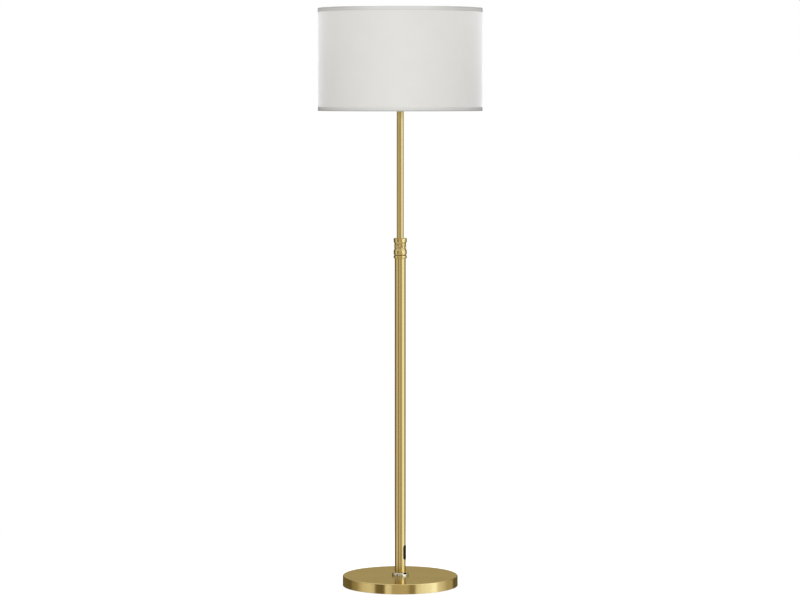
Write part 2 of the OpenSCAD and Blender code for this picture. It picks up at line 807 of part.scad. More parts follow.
module shade_top_wire() {
    color("white") wire_ring(shade_z1 - wire_in);
}

module shade_liner() {
    color("white") tube(liner_r, liner_in_r, shade_z0 + trim_t, shade_z1 - trim_t);
}

module shade_fabric() {
    color("whitesmoke") tube(fabric_r, liner_r, shade_z0 + trim_t, shade_z1 - trim_t);
}

// Outline of the trim tape: round the wire, flat on the liner, and up the fabric's outside
function trim_outline(wrap_r, corner) = concat(
    [for (a = [270 : -20 : 90]) [wire_ring_r + wrap_r * cos(a), wire_in + wrap_r * sin(a)]],
    [[liner_in_r - trim_t, wire_in + wrap_r + 0.5], [liner_in_r - trim_t, trim_h],
        [liner_in_r, trim_h], [liner_in_r, trim_t], [fabric_r, trim_t],
        [fabric_r, trim_h], [shade_d / 2, trim_h]],
    [for (a = [0 : -30 : -90]) [shade_d / 2 - corner + corner * cos(a), corner + corner * sin(a)]]);

module trim_section() {
    difference() {
        polygon(trim_outline(wire_r + trim_t, 1));
        translate([wire_ring_r, wire_in]) circle(wire_r);
    }
}

module shade_trim_bottom() {
    color("whitesmoke") difference() {
        translate([0, 0, shade_z0]) rotate_extrude() trim_section();
        arms(arm_d / 2 + 0.3);
    }
}

module shade_trim_top() {
    color("whitesmoke") translate([0, 0, shade_z1]) mirror([0, 0, 1]) rotate_extrude() trim_section();
}

base_cover();
base_weight();
base_plate();
felt_pad();
base_screws();
pole_stud();
foot_washer();
foot_nut();
foot_ring();
foot_plug();
lower_tube();
cable_grommet();
collar_sleeve();
clamp_ring();
lock_nut();
guide_bush();
guide_clips();
tube_end_bush();
upper_tube();
tube_cap();
holder_nipple();
holder_cap();
holder_grub_screw();
holder_core();
terminal_screws();
centre_contact();
screw_shell();
holder_body();
shade_ring_lower();
shade_ring_upper();
bulb_contact();
bulb_insulator();
bulb_cap();
bulb_body();
bulb_globe();
shade_carrier();
shade_top_wire();
shade_liner();
shade_fabric();
shade_trim_bottom();
shade_trim_top();
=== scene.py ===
"""Looks of the telescopic floor lamp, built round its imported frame. Metres; +Z up, front -Y."""
import json
import math

import bmesh
import bpy
from mathutils import Matrix, Vector, noise


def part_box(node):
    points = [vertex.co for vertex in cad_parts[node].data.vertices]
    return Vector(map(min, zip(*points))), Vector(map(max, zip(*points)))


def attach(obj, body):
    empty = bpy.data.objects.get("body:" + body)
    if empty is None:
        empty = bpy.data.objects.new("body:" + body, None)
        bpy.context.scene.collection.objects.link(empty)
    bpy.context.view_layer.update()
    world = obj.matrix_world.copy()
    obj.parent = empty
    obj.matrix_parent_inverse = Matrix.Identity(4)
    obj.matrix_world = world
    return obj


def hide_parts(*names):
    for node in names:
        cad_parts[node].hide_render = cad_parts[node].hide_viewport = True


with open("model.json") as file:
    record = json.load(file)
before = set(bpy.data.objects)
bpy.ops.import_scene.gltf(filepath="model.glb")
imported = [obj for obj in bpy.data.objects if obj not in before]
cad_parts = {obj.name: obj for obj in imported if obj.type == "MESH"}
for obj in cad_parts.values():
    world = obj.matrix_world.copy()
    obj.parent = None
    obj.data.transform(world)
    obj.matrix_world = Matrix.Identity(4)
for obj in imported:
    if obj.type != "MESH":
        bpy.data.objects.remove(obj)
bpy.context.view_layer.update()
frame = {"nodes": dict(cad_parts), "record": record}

MM = 0.001
INSIDE = 0.3 * MM                  # how far in from a wall a point counts as behind it
scene = bpy.context.scene
scene.view_settings.view_transform = "Standard"


# ---------- camera ----------

LENS = 133.48                      # mm, on a 36 mm sensor
CAMERA_AT = (-0.0006, -8.1264, 1.3602)
CAMERA_PITCH = math.radians(-4.013)


def add_camera():
    data = bpy.data.cameras.new("camera")
    data.sensor_width = 36
    data.lens = LENS
    camera = bpy.data.objects.new("camera", data)
    camera.location = CAMERA_AT
    camera.rotation_euler = (math.pi / 2 + CAMERA_PITCH, 0, 0)
    scene.collection.objects.link(camera)
    scene.camera = camera


# ---------- building materials ----------

class Nodes:
    """A node tree under construction, with short calls that add to it."""

    def __init__(self, tree):
        self.tree = tree

    def add(self, kind, inputs=None, **settings):
        """Adds a node. inputs maps a socket's name or place to a value or to another socket."""
        node = self.tree.nodes.new("ShaderNode" + kind)
        for name, value in settings.items():
            setattr(node, name, value)
        for name, value in (inputs or {}).items():
            if isinstance(value, bpy.types.NodeSocket):
                self.tree.links.new(value, node.inputs[name])
            else:
                node.inputs[name].default_value = value
        return node

    def math(self, operation, a, b=0.0, clamp=False):
        return self.add("Math", {0: a, 1: b}, operation=operation, use_clamp=clamp).outputs[0]

    def stretch(self, vector, scale):
        return self.add("Mapping", {"Vector": vector, "Scale": scale}).outputs[0]

    def noise(self, vector, scale=1.0, detail=3.0, roughness=0.5):
        return self.add("TexNoise", {"Vector": vector, "Scale": scale, "Detail": detail,
                                     "Roughness": roughness}).outputs["Fac"]

    def remap(self, value, low, high, to_low=0.0, to_high=1.0, smooth=False):
        return self.add("MapRange", {"Value": value, "From Min": low, "From Max": high,
                                     "To Min": to_low, "To Max": to_high},
                        interpolation_type="SMOOTHSTEP" if smooth else "LINEAR").outputs[0]

    def tint(self, factor, first, second):
        """The colour first, turning to second as factor goes to 1."""
        node = self.add("Mix", {0: factor}, data_type="RGBA")
        for place, color in ((6, first), (7, second)):
            if isinstance(color, bpy.types.NodeSocket):
                self.tree.links.new(color, node.inputs[place])
            else:
                node.inputs[place].default_value = (*color, 1)
        return node.outputs[2]


class Finish(Nodes):
    """A surface finish: one Principled shader and the nodes that feed it."""

    def __init__(self, name, **sockets):
        self.material = bpy.data.materials.new(name)
        self.material.use_nodes = True
        super().__init__(self.material.node_tree)
        self.shader = self.tree.nodes["Principled BSDF"]
        for socket, value in sockets.items():
            self.shader.inputs[socket.replace("_", " ")].default_value = value
        self.place = self.add("TexCoord").outputs["Object"]

    def feed(self, socket, value):
        self.tree.links.new(value, self.shader.inputs[socket])

    def color(self, factor, first, second):
        self.feed("Base Color", self.tint(factor, first, second))

    def rough(self, factor, low, high):
        self.feed("Roughness", self.remap(factor, 0.25, 0.75, low, high))

    def bump(self, height, depth):
        """Relief of that depth in metres, from a height that runs from 0 to 1."""
        self.feed("Normal", self.add("Bump", {"Strength": 1.0, "Distance": depth,
                                              "Height": height}).outputs[0])

    def turned_lines(self, lines_per_m):
        """Fine lines that run round the Z axis, on faces and rims alike."""
        x, y, z = self.add("SeparateXYZ", {0: self.place}).outputs
        flat = self.add("CombineXYZ", {0: x, 1: y}).outputs[0]
        radius = self.add("VectorMath", {0: flat}, operation="LENGTH").outputs["Value"]
        across = self.math("MULTIPLY", self.math("SUBTRACT", radius, z), lines_per_m)
        along = self.stretch(flat, (9, 9, 0))
        along_x, along_y, _ = self.add("SeparateXYZ", {0: along}).outputs
        return self.noise(self.add("CombineXYZ", {0: across, 1: along_x, 2: along_y}).outputs[0],
                          detail=2)

    def brush_round(self):
        """Highlights drawn out across the lines of the brush, which ran round the Z axis."""
        tangent = self.add("Tangent", direction_type="RADIAL", axis="Z").outputs[0]
        self.feed("Tangent", tangent)


# ---------- finishes ----------

BRASS = (0.765, 0.585, 0.250)
BRASS_DEEP = (0.700, 0.520, 0.205)
# The colour of the shade painted into the lock nut's hollows
BRASS_HOLLOW_SHADE = (0.300, 0.195, 0.055)
BRASS_EDGE = (0.80, 0.68, 0.42, 1)
BASE_EDGE = (1.0, 1.0, 0.90, 1)
CAST_EDGE = (0.42, 0.32, 0.13, 1)


def turned_brass(name, edge, lines_per_m, low, high, depth):
    """Brass brushed on a lathe. edge is its tint where it is seen at a slant."""
    finish = Finish(name, Metallic=1.0, Specular_Tint=edge, Anisotropic=0.85,
                    Anisotropic_Rotation=0.25)
    finish.brush_round()
    lines = finish.turned_lines(lines_per_m)
    cloud = finish.noise(finish.place, 12, 4)
    finish.color(cloud, BRASS, BRASS_DEEP)
    finish.rough(finish.math("ADD", finish.math("MULTIPLY", lines, 0.6),
                             finish.math("MULTIPLY", cloud, 0.4)), low, high)
    finish.bump(lines, depth)
    return finish.material


def cast_brass():
    finish = Finish("cast_brass", Metallic=1.0, Specular_Tint=CAST_EDGE)
    grain = finish.noise(finish.place, 1400, 3)
    cloud = finish.noise(finish.place, 60, 3)
    finish.color(cloud, BRASS, BRASS_DEEP)
    finish.rough(grain, 0.12, 0.20)
    finish.bump(grain, 6e-6)
    return finish.material


def relief_brass():
    """The lock nut's brass: polished on what stands out, duller in the hollows, with shade painted
    into its colour there.
    """
    finish = Finish("relief_brass", Metallic=1.0, Specular_Tint=CAST_EDGE)
    grain = finish.noise(finish.place, 1400, 3)
    # hollow says how much shade is painted into the colour at each place
    hollow = finish.add("Attribute", attribute_name="hollow").outputs["Fac"]
    hollow_shade = finish.math("MULTIPLY", hollow, finish.remap(grain, 0.3, 0.7, 0.75, 1.0))
    finish.color(hollow_shade, BRASS, BRASS_HOLLOW_SHADE)
    finish.feed("Roughness", finish.remap(hollow_shade, 0.0, 1.0, 0.12, 0.40))
    finish.bump(grain, 6e-6)
    return finish.material


def contact_brass():
    finish = Finish("contact_brass", Metallic=1.0)
    cloud = finish.noise(finish.place, 180, 4)
    finish.color(cloud, (0.72, 0.50, 0.19), (0.60, 0.40, 0.15))
    finish.rough(cloud, 0.2, 0.34)
    finish.bump(finish.noise(finish.place, 1800), 4e-6)
    return finish.material


def polished_nickel():
    finish = Finish("polished_nickel", Metallic=1.0)
    lines = finish.turned_lines(1100)
    finish.color(finish.noise(finish.place, 90, 3), (0.78, 0.72, 0.61), (0.70, 0.64, 0.54))
    finish.rough(lines, 0.04, 0.09)
    finish.bump(lines, 1e-6)
    return finish.material


def steel(name, bright, dull, low, high):
    """Plated or rolled steel, with a faint spangle."""
    finish = Finish(name, Metallic=1.0)
    spangle = finish.add("TexVoronoi", {"Vector": finish.place, "Scale": 700}).outputs["Color"]
    cloud = finish.noise(finish.place, 60, 5)
    mixed = finish.math("ADD", finish.math("MULTIPLY", spangle, 0.35),
                        finish.math("MULTIPLY", cloud, 0.65))
    finish.color(mixed, bright, dull)
    finish.rough(mixed, low, high)
    finish.bump(finish.noise(finish.place, 900), 5e-6)
    return finish.material


def cast_iron():
    finish = Finish("cast_iron", Metallic=0.4)
    grain = finish.noise(finish.place, 320, 6, 0.65)
    finish.color(grain, (0.020, 0.020, 0.022), (0.062, 0.060, 0.058))
    finish.rough(grain, 0.6, 0.85)
    finish.bump(grain, 4e-4)
    return finish.material


def moulded(name, color, pale, low, high, grain_depth=8e-6, **sockets):
    """A moulded plastic or rubber with a fine grain and faint flow marks."""
    finish = Finish(name, **sockets)
    grain = finish.noise(finish.place, 2400, 2)
    flow = finish.noise(finish.stretch(finish.place, (40, 40, 120)), 1, 4)
    finish.color(flow, color, pale)
    finish.rough(flow, low, high)
    finish.bump(grain, grain_depth)
    return finish.material


def shade_spot_rubber():
    """Near-black and dull: shade painted into a piece, dark enough to read as the shadow in a hole
    from a few steps away.
    """
    return moulded("shade_spot_rubber", (0.004, 0.004, 0.003), (0.008, 0.007, 0.006), 0.75, 0.9, 2e-5,
                   Specular_IOR_Level=0.1)


def felt():
    finish = Finish("felt", Sheen_Weight=0.5, Sheen_Roughness=0.6)
    fibres = finish.noise(finish.stretch(finish.place, (900, 2200, 900)), 1, 5, 0.7)
    crossing = finish.noise(finish.stretch(finish.place, (2200, 800, 900)), 1, 5, 0.7)
    mixed = finish.math("MULTIPLY", fibres, crossing)
    finish.color(finish.remap(mixed, 0.1, 0.45), (0.004, 0.004, 0.004), (0.022, 0.021, 0.019))
    finish.rough(mixed, 0.9, 1.0)
    finish.bump(mixed, 4e-4)
    return finish.material


def powder_coat():
    finish = Finish("powder_coat")
    peel = finish.noise(finish.place, 1100, 2)
    finish.color(finish.noise(finish.place, 30, 3), (0.78, 0.78, 0.76), (0.72, 0.72, 0.70))
    finish.rough(peel, 0.32, 0.45)
    finish.bump(peel, 2e-5)
    return finish.material


LINER_DEPTH = 1.0 * MM             # how deep light goes into the liner


def liner_film():
    """Matt white styrene, with faint bands from rolling."""
    finish = Finish("liner_film", Subsurface_Weight=1.0, Subsurface_Radius=(1, 1, 1),
                    Subsurface_Scale=LINER_DEPTH)
    bands = finish.noise(finish.stretch(finish.place, (55, 55, 3)), 1, 3)
    finish.color(bands, (0.80, 0.79, 0.765), (0.765, 0.755, 0.73))
    finish.rough(bands, 0.5, 0.62)
    finish.bump(finish.noise(finish.place, 1500), 1e-5)
    return finish.material


def opal():
    finish = Finish("opal", Subsurface_Weight=0.3, Subsurface_Radius=(0.004, 0.004, 0.004))
    cloud = finish.noise(finish.place, 120, 3)
    finish.color(cloud, (0.85, 0.85, 0.83), (0.80, 0.80, 0.78))
    finish.rough(cloud, 0.35, 0.45)
    finish.bump(finish.noise(finish.place, 1500), 4e-6)
    return finish.material


THREAD_PITCH = 0.62 * MM
CLOTH_DEPTH = 0.5 * MM             # how deep light goes into the cloth
WEAVE_RISE = 0.07 * MM
SHADE_PALE = (0.800, 0.790, 0.760)
SHADE_SHADED = (0.770, 0.760, 0.730)
# The tapes' colours are darker than the cloth's: shade painted in for the doubled tape over its
# wire.
TAPE_PALE = (0.700, 0.694, 0.672)
TAPE_SHADED = (0.665, 0.659, 0.637)
# The colour that the rim tapes are darkened towards where shade is painted into them
TAPE_PAINTED_SHADE = (0.14, 0.137, 0.12)


def cloth(name, pale, shaded, sheen, glow, painted_shade=None):
    """Plain weave on the cloth's own flat map, with thicker threads here and there.

    The optional last argument, if given, adds its nodes to the finish and returns how much shade to
    paint into the colour at each place.
    """
    finish = Finish(name, Sheen_Weight=sheen, Sheen_Roughness=0.45, Subsurface_Weight=glow,
                    Subsurface_Radius=(1, 1, 1), Subsurface_Scale=CLOTH_DEPTH)
    flat = finish.add("UVMap", uv_map="flat").outputs[0]
    across, along, _ = finish.add("SeparateXYZ", {0: flat}).outputs
    turns = math.pi / THREAD_PITCH
    over = finish.math("SINE", finish.math("MULTIPLY", across, turns))
    under = finish.math("SINE", finish.math("MULTIPLY", along, turns))
    weave = finish.remap(finish.math("MULTIPLY", over, under), -1, 1, 0, 0.5)
    warp = finish.noise(finish.stretch(flat, (1500, 45, 1)), 1, 2)
    weft = finish.noise(finish.stretch(flat, (30, 1500, 1)), 1, 2)
    slub = finish.math("MAXIMUM", warp, weft)
    cloud = finish.noise(flat, 22, 3)
    tone = finish.math("ADD", finish.math("MULTIPLY", slub, 0.6),
                       finish.math("MULTIPLY", cloud, 0.4))
    woven = finish.tint(finish.remap(tone, 0.35, 0.75), pale, shaded)
    # Where a mask is given, shade is painted into the colour, darkening it towards the tapes' shade
    # colour.
    if painted_shade:
        woven = finish.tint(painted_shade(finish), woven, TAPE_PAINTED_SHADE)
    finish.feed("Base Color", woven)
    finish.rough(slub, 0.85, 0.95)
    finish.bump(finish.math("ADD", weave, finish.math("MULTIPLY", slub, 0.5)), WEAVE_RISE)
    return finish.material


def make_finishes():
    """Every finish of the carried-over nodes, under the record's name for it."""
    return {
        "satin_brass": turned_brass("tube_brass", BRASS_EDGE, 1500, 0.12, 0.17, 2e-6),
        "satin_brass_base": turned_brass("base_brass", BASE_EDGE, 1300, 0.14, 0.21, 7e-6),
        "cast_brass": cast_brass(),
        "cast_weight": cast_iron(),
        "plain_steel": steel("rolled_steel", (0.30, 0.31, 0.33), (0.20, 0.20, 0.21), 0.35, 0.5),
        "zinc_steel": steel("zinc_steel", (0.58, 0.59, 0.62), (0.42, 0.43, 0.45), 0.25, 0.42),
        "felt": felt(),
        "polished_nickel": polished_nickel(),
        "black_rubber": moulded("dull_rubber", (0.016, 0.012, 0.004), (0.028, 0.022, 0.008),
                                0.75, 0.9, 2e-5, Specular_IOR_Level=0.15),
        "nylon": moulded("nylon", (0.74, 0.72, 0.64), (0.68, 0.66, 0.58), 0.38, 0.5),
        "black_thermoplastic": moulded("black_holder", (0.010, 0.010, 0.010),
                                       (0.018, 0.018, 0.018), 0.34, 0.48),
        "white_ceramic": moulded("porcelain", (0.82, 0.80, 0.76), (0.76, 0.74, 0.70), 0.5, 0.68),
        "contact_brass": contact_brass(),
        "solder": steel("solder", (0.48, 0.48, 0.49), (0.36, 0.36, 0.37), 0.4, 0.55),
        "black_insulator": moulded("black_glass", (0.006, 0.006, 0.007), (0.012, 0.012, 0.013),
                                   0.1, 0.2),
        "bulb_nickel": steel("bulb_nickel", (0.66, 0.66, 0.66), (0.55, 0.55, 0.55), 0.22, 0.34),
        "white_plastic": moulded("bulb_plastic", (0.82, 0.82, 0.81), (0.78, 0.78, 0.77),
                                 0.25, 0.35),
        "opal_diffuser": opal(),
        "white_wire": powder_coat(),
        "liner_film": liner_film(),
        "shade_cloth": cloth("shade_cloth", SHADE_PALE, SHADE_SHADED, 1.0, 1.0),
    }


def dress_nodes(finishes):
    """Gives each carried-over node the finish that the record names for it."""
    for part in frame["record"]["subparts"]:
        node = frame["nodes"][part["node"]]
        for slot in node.material_slots:
            slot.material = finishes[part["material_slot"]]


# ---------- building pieces ----------

def make_piece(name, bm, material, sharp_deg=40):
    """An object from a bmesh, smooth but for edges sharper than that angle."""
    mesh = bpy.data.meshes.new(name)
    bm.to_mesh(mesh)
    bm.free()
    mesh.materials.append(material)
    mesh.shade_smooth()
    mesh.set_sharp_from_angle(angle=math.radians(sharp_deg))
    piece = bpy.data.objects.new(name, mesh)
    scene.collection.objects.link(piece)
    return piece


def spin_profile(points, steps):
    """A bmesh of a closed outline of (radius, height) points, turned once round Z."""
    bm = bmesh.new()
    verts = [bm.verts.new((0, -radius, height)) for radius, height in points]
    edges = [bm.edges.new((verts[i - 1], verts[i])) for i in range(len(verts))]
    bmesh.ops.spin(bm, geom=verts + edges, cent=(0, 0, 0), axis=(0, 0, 1), angle=2 * math.pi,
                   steps=steps, use_merge=True)
    bmesh.ops.remove_doubles(bm, verts=bm.verts, dist=1e-6)
    bmesh.ops.recalc_face_normals(bm, faces=bm.faces)
    return bm


def arc(center_r, center_z, radius, start_deg, end_deg, steps):
    """Points of an arc in the half plane, from one angle to the other."""
    turn = (math.radians(start_deg + (end_deg - start_deg) * i / steps) for i in range(steps + 1))
    return [(center_r + radius * math.cos(a), center_z + radius * math.sin(a)) for a in turn]


# ---------- lock nut ----------

NUT_EDGE = 1.7 * MM                # round of the crown's upper edge
NUT_STEPS = 240
FOOT_INSET = 2.2 * MM
SWELL_H = 6.5 * MM                 # the lower swell's round foot
SWELL_IN = 1.2 * MM
SWELL_TOP = (7.5 * MM, 12 * MM)    # its straight side, above the nut's foot
WAIST_R = 15.6 * MM
WAIST_FROM = 17.2 * MM             # above the nut's foot
WAIST_TO = 15.5 * MM               # below its top, as the next one
CROWN_FROM = 9 * MM
BORE = ((9.8 * MM, 0.0), (9.8 * MM, 12 * MM), (12.9 * MM, 20 * MM))   # radius, below the top
LEAVES = 8
LEAF_TURN = math.radians(32)
LEAF_HALF = 6.9 * MM
LEAF_WIDE = 3.6 * MM
LEAF_LEAN = math.radians(24)
LEAF_RISE = 0.8 * MM
VEIN_DEEP = 0.2 * MM
BEAD_R = 1.3 * MM
BEAD_UP = 4.9 * MM                 # above or below the waist's middle
LOWER_TIPS = (9.0 * MM, 7.0 * MM)  # middle of the lower band of tips above the foot, and its reach
UPPER_TIPS = (6.5 * MM, 5.6 * MM)  # middle of the upper band below the top, and its reach
GROOVE_DEEP = 0.4 * MM
FADE = 1.2 * MM                    # rise over which the waist's look turns to the bands'
WAIST_SHADE_REACH = 8 * MM                   # reach of the shade painted on the waist, from its middle
# how dark the shade painted into the waist's low places and into the grooves is
WAIST_HOLLOW_SHADE, GROOVE_HOLLOW_SHADE = 0.35, 0.2


def leaf_relief(across, up):
    """Height of one leaf at a point that far across and up from its middle."""
    share = up / LEAF_HALF
    if abs(share) >= 1:
        return 0.0
    half_width = LEAF_WIDE * (1 - share * share) * (1 + 0.08 * math.cos(share * 14))
    side = abs(across) / max(half_width, 1e-5)
    if side >= 1:
        return 0.0
    dome = LEAF_RISE * (1 - side * side) ** 0.7
    midrib = VEIN_DEEP * math.exp(-(side / 0.2) ** 2)
    ribs = VEIN_DEEP * 0.5 * (0.5 + 0.5 * math.cos(share * 18 - side * 3)) * side
    return max(0.0, dome - midrib - ribs)


def nut_relief(angle, height, middle):
    """Height of the relief on the nut's waist: leaves in pairs, and beads in their gaps."""
    best = 0.0
    up = height - middle
    for i in range(LEAVES):
        center = 2 * math.pi * i / LEAVES + LEAF_TURN
        across = ((angle - center + math.pi) % (2 * math.pi) - math.pi) * WAIST_R
        side = 1 if i % 2 == 0 else -1
        lean = side * LEAF_LEAN
        turned = (across * math.cos(lean) + up * math.sin(lean),
                  -across * math.sin(lean) + up * math.cos(lean))
        best = max(best, leaf_relief(*turned))
        gap = across - math.pi * WAIST_R / LEAVES
        far = math.hypot(gap, up - side * BEAD_UP) / BEAD_R
        if far < 1:
            best = max(best, 0.8 * LEAF_RISE * (1 - far * far))
    return best


def tip_groove(angle, up, reach):
    """How deep a place lies in the V-shaped grooves between the leaf tips of a band: 0 to 1."""
    if abs(up) >= reach:
        return 0.0
    bend = 1.5 * abs(up) / reach
    swing = math.sin(LEAVES / 2 * (angle - LEAF_TURN) + bend)
    fade = min(1.0, 3 * (1 - abs(up) / reach))
    return fade * (1 - abs(swing)) ** 4


def s_bend(start, end, steps):
    """An S-shaped bend between two points of an outline, without its two ends."""
    points = []
    for i in range(1, steps):
        ease = (1 - math.cos(math.pi * i / steps)) / 2
        points.append((start[0] + (end[0] - start[0]) * ease,
                       start[1] + (end[1] - start[1]) * i / steps))
    return points


def upright(radius, start, end, steps):
    """Points up a straight wall, with both its ends."""
    return [(radius, start + (end - start) * i / steps) for i in range(steps + 1)]


def nut_profile(low, high, collar_r):
    """Outline of the nut: its bore, foot, full lower swell, waist and crown."""
    side_from, side_to = (low + part for part in SWELL_TOP)
    swell = [(collar_r - SWELL_IN * (1 - math.sin(a)), side_from - SWELL_H * math.cos(a))
             for a in (math.pi / 2 * i / 10 for i in range(11))]
    waist = upright(WAIST_R, low + WAIST_FROM, high - WAIST_TO, 26)
    side = upright(collar_r, side_from, side_to, 4)[1:]
    crown = upright(collar_r, high - CROWN_FROM, high - NUT_EDGE, 5)[:-1]
    bore = [(radius, high - down) for radius, down in BORE] + [(BORE[-1][0], low)]
    return (bore + [(collar_r - FOOT_INSET, low)] + swell + side + s_bend(side[-1], waist[0], 12)
            + waist + s_bend(waist[-1], crown[0], 14) + crown
            + arc(collar_r - NUT_EDGE, high - NUT_EDGE, NUT_EDGE, 0, 90, 6))


def lock_nut(material):
    """The lock nut, with leaves and beads on its waist and grooves on its two bands."""
    low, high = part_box("lock_nut")
    middle = (low.z + WAIST_FROM + high.z - WAIST_TO) / 2
    bands = ((low.z + LOWER_TIPS[0], LOWER_TIPS[1]), (high.z - UPPER_TIPS[0], UPPER_TIPS[1]))
    bm = spin_profile(nut_profile(low.z, high.z, high.x), NUT_STEPS)
    hollow = bm.verts.layers.float.new("hollow")
    for vert in bm.verts:
        radius = math.hypot(vert.co.x, vert.co.y)
        if radius < WAIST_R - INSIDE:
            continue
        angle, z = math.atan2(vert.co.y, vert.co.x), vert.co.z
        rise = nut_relief(angle, z, middle)
        flat = 1 - min(1.0, rise / (0.5 * LEAF_RISE))
        near_band = min(1.0, max(0.0, (radius - WAIST_R) / FADE))
        groove = max(tip_groove(angle, z - band, reach) for band, reach in bands)
        grown = max(radius - GROOVE_DEEP * groove * near_band, WAIST_R + rise)
        # Painted shade: the hollow attribute darkens the colour in the waist's low places and in
        # the grooves.
        hollow_shade = WAIST_HOLLOW_SHADE * flat * (1 - near_band) if abs(z - middle) < WAIST_SHADE_REACH else 0
        vert[hollow] = max(hollow_shade, GROOVE_HOLLOW_SHADE * groove * near_band)
        vert.co.x *= grown / radius
        vert.co.y *= grown / radius
    piece = make_piece("lock_nut_relief", bm, material)
    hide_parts("lock_nut")
    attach(piece, "lock_nut")


# ---------- foot ----------

RING_LEAN = 9                      # degrees by which the foot ring's side leans in
RING_ROUND = 2.4 * MM
RING_EDGE = 0.4 * MM
SEAT_GAP, STUD_GAP = 0.03 * MM, 0.3 * MM
PLUG_FROM = math.radians(-64)      # from +X, towards the front
PLUG_TURN = math.radians(21)
PLUG_ROUND = 2.2 * MM
PLUG_IN = 1.5 * MM                 # its middle, inside the ring's side and below its top
PLUG_TIP = 1.2 * MM
PLUG_TAPER = 0.55


def foot_ring(material):
    """The polished ring at the pole's foot: a side that leans in a little, and a round shoulder."""
    low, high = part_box("foot_ring")
    tube_low, tube_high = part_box("lower_tube")
    bore_r, stud_r = tube_high.x + SEAT_GAP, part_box("pole_stud")[1].x + STUD_GAP
    lean = math.radians(RING_LEAN)
    shoulder_z = high.z - RING_ROUND
    side_h = shoulder_z + RING_ROUND * math.sin(lean) - low.z - RING_EDGE
    shoulder_r = high.x - side_h * math.tan(lean) - RING_ROUND * math.cos(lean)
    outline = [(stud_r, low.z)]
    outline += arc(high.x - RING_EDGE, low.z + RING_EDGE, RING_EDGE, -90, 0, 4)
    outline += arc(shoulder_r, shoulder_z, RING_ROUND, RING_LEAN, 90, 12)
    outline += [(bore_r, high.z), (bore_r, tube_low.z), (stud_r, tube_low.z)]
    piece = make_piece("foot_ring_turned", spin_profile(outline, 120), material)
    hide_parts("foot_ring")
    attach(piece, "stand")


def shade_spot_plug(material):
    """A black plug set into the foot ring's shoulder beside the tube: a dark piece standing in for
    the shade in a gap there.
    """
    ring_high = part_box("foot_ring")[1]
    middle_r, up = ring_high.x - PLUG_IN, ring_high.z - PLUG_IN
    section = arc(middle_r, up, PLUG_ROUND, 0, 360, 16)[:-1]
    bm = bmesh.new()
    start = bm.faces.new([bm.verts.new((radius, 0, z)) for radius, z in section])
    bmesh.ops.rotate(bm, verts=bm.verts, cent=(0, 0, 0), matrix=Matrix.Rotation(PLUG_FROM, 3, "Z"))
    bmesh.ops.spin(bm, geom=[start], cent=(0, 0, 0), axis=(0, 0, 1), angle=PLUG_TURN, steps=20)
    bmesh.ops.remove_doubles(bm, verts=bm.verts, dist=1e-6)
    for end, outwards in ((PLUG_FROM, -1), (PLUG_FROM + PLUG_TURN, 1)):
        center = Vector((middle_r * math.cos(end), middle_r * math.sin(end), up))
        onwards = Vector((-math.sin(end), math.cos(end), 0)) * outwards
        rim = [v for v in bm.verts if abs(math.atan2(v.co.y, v.co.x) - end) < 1e-4]
        faces = [f for f in bm.faces if all(v in rim for v in f.verts)]
        cap = bmesh.ops.extrude_face_region(bm, geom=faces)
        for vert in cap["geom"]:
            if isinstance(vert, bmesh.types.BMVert):
                vert.co = center + (vert.co - center) * PLUG_TAPER + onwards * PLUG_TIP
    bmesh.ops.recalc_face_normals(bm, faces=bm.faces)
    piece = make_piece("foot_shade_spot", bm, material, 60)
    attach(piece, "stand")


# ---------- shade ----------

LAP = 14 * MM                      # how far the cloth's end laps over its start
LAP_RISE = 0.45 * MM
LAP_STARTS = 2.2 * LAP             # where the cloth starts to rise, before its end
LAP_CLIMB = 1.1 * LAP
SEAM_AT = math.pi / 2              # the seam is at the back
CLOTH_T = 0.42 * MM
CLOTH_WAVE = 0.06 * MM
GLUE = 0.02 * MM
CLOTH_GRID = (264, 14)
TAPE_T = 0.5 * MM
TAPE_CORNER = 1.3 * MM
TAPE_CROWN = 0.10 * MM             # how far the tape bellies out between its edges
TAPE_END = 0.2 * MM                # round of its cut edges
WIRE_R = 1.8 * MM
LINER_T = 0.8 * MM
TRIM_STEPS = 360
PUCKER_IN, PUCKER_OUT = 0.22 * MM, 0.05 * MM


def shade_cloth(material):
    """One flat piece of cloth, rolled once round the liner and lapped at the back."""
    low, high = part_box("shade_fabric")
    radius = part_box("shade_liner")[1].x + CLOTH_T / 2 + GLUE
    width, height = 2 * math.pi * radius + LAP, high.z - low.z
    bm = bmesh.new()
    bmesh.ops.create_grid(bm, x_segments=CLOTH_GRID[0], y_segments=CLOTH_GRID[1], size=0.5)
    flat = bm.loops.layers.uv.new("flat")
    for face in bm.faces:
        for loop in face.loops:
            loop[flat].uv = (loop.vert.co.x * width, loop.vert.co.y * height)
    for vert in bm.verts:
        run = (vert.co.x + 0.5) * width
        lift = min(1.0, max(0.0, (run - (width - LAP_STARTS)) / LAP_CLIMB))
        lift = lift * lift * (3 - 2 * lift)
        wave = CLOTH_WAVE * noise.noise((run * 9, vert.co.y * 3, 0))
        around = SEAM_AT + run / radius
        reach = radius + LAP_RISE * lift + max(0.0, wave)
        vert.co = (reach * math.cos(around), reach * math.sin(around),
                   (low.z + high.z) / 2 + vert.co.y * height)
    bmesh.ops.recalc_face_normals(bm, faces=bm.faces)
    bmesh.ops.solidify(bm, geom=bm.faces, thickness=CLOTH_T)
    piece = make_piece("shade_cloth_wall", bm, material, 50)
    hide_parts("shade_fabric")
    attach(piece, "upper_pole")
    return piece, (width, height)


